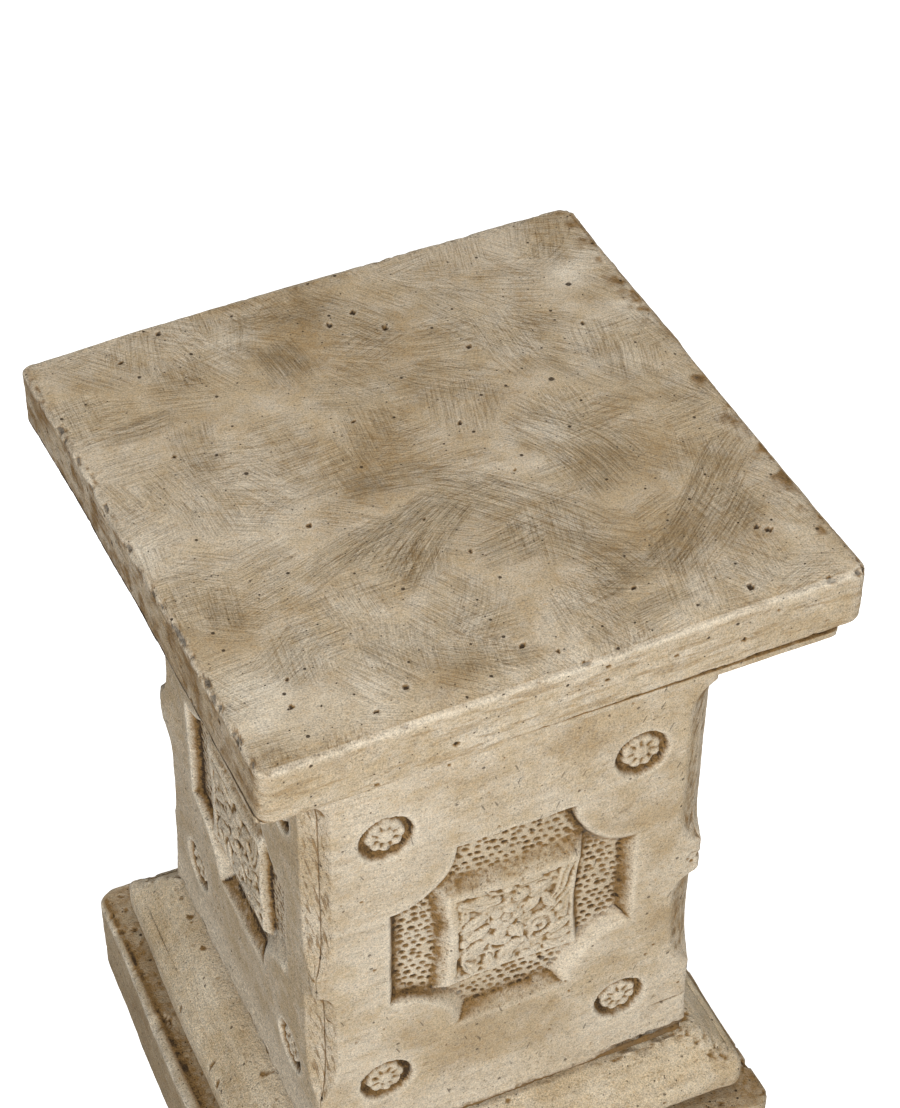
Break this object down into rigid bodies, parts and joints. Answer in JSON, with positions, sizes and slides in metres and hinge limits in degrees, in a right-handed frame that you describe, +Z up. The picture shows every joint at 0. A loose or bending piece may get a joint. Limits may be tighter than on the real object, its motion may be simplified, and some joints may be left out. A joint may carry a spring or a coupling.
{
  "type": "garden pedestal",
  "caption": "Square cast-stone garden pedestal: thick cap slab, carved hollow shaft of mitred panels, sloping moulded base and plinth.",
  "frame": {"origin": "middle of the plinth's underside, on the ground", "axes": "+Z up; -Y out of the front panel, +X out of the right panel; each axis is square to a face of the slab"},
  "size_m": [0.305, 0.305, 0.473],
  "materials": {
    "cap_stone": "brushed cast stone, mottled and pitted",
    "shaft_stone": "cast stone with brown patina in the carving",
    "base_stone": "rough cast stone",
    "mortar": "dirty recessed mortar",
    "dowel_steel": "plain steel rod"
  },
  "bodies": {
    "root": {"cap_slab": "cap_stone", "cap_joint": "mortar", "shaft_panel_front": "shaft_stone", "shaft_panel_right": "shaft_stone", "shaft_panel_back": "shaft_stone", "shaft_panel_left": "shaft_stone", "corner_fillet_front_left": "mortar", "corner_fillet_front_right": "mortar", "corner_fillet_back_right": "mortar", "corner_fillet_back_left": "mortar", "shaft_foot_joint": "mortar", "base_moulding": "base_stone", "plinth_joint": "mortar", "plinth": "base_stone", "cap_dowel_front": "dowel_steel", "cap_dowel_right": "dowel_steel", "cap_dowel_back": "dowel_steel", "cap_dowel_left": "dowel_steel", "foot_dowel_front": "dowel_steel", "foot_dowel_right": "dowel_steel", "foot_dowel_back": "dowel_steel", "foot_dowel_left": "dowel_steel", "plinth_dowel_left": "dowel_steel", "plinth_dowel_right": "dowel_steel"}
  },
  "joints": []
}
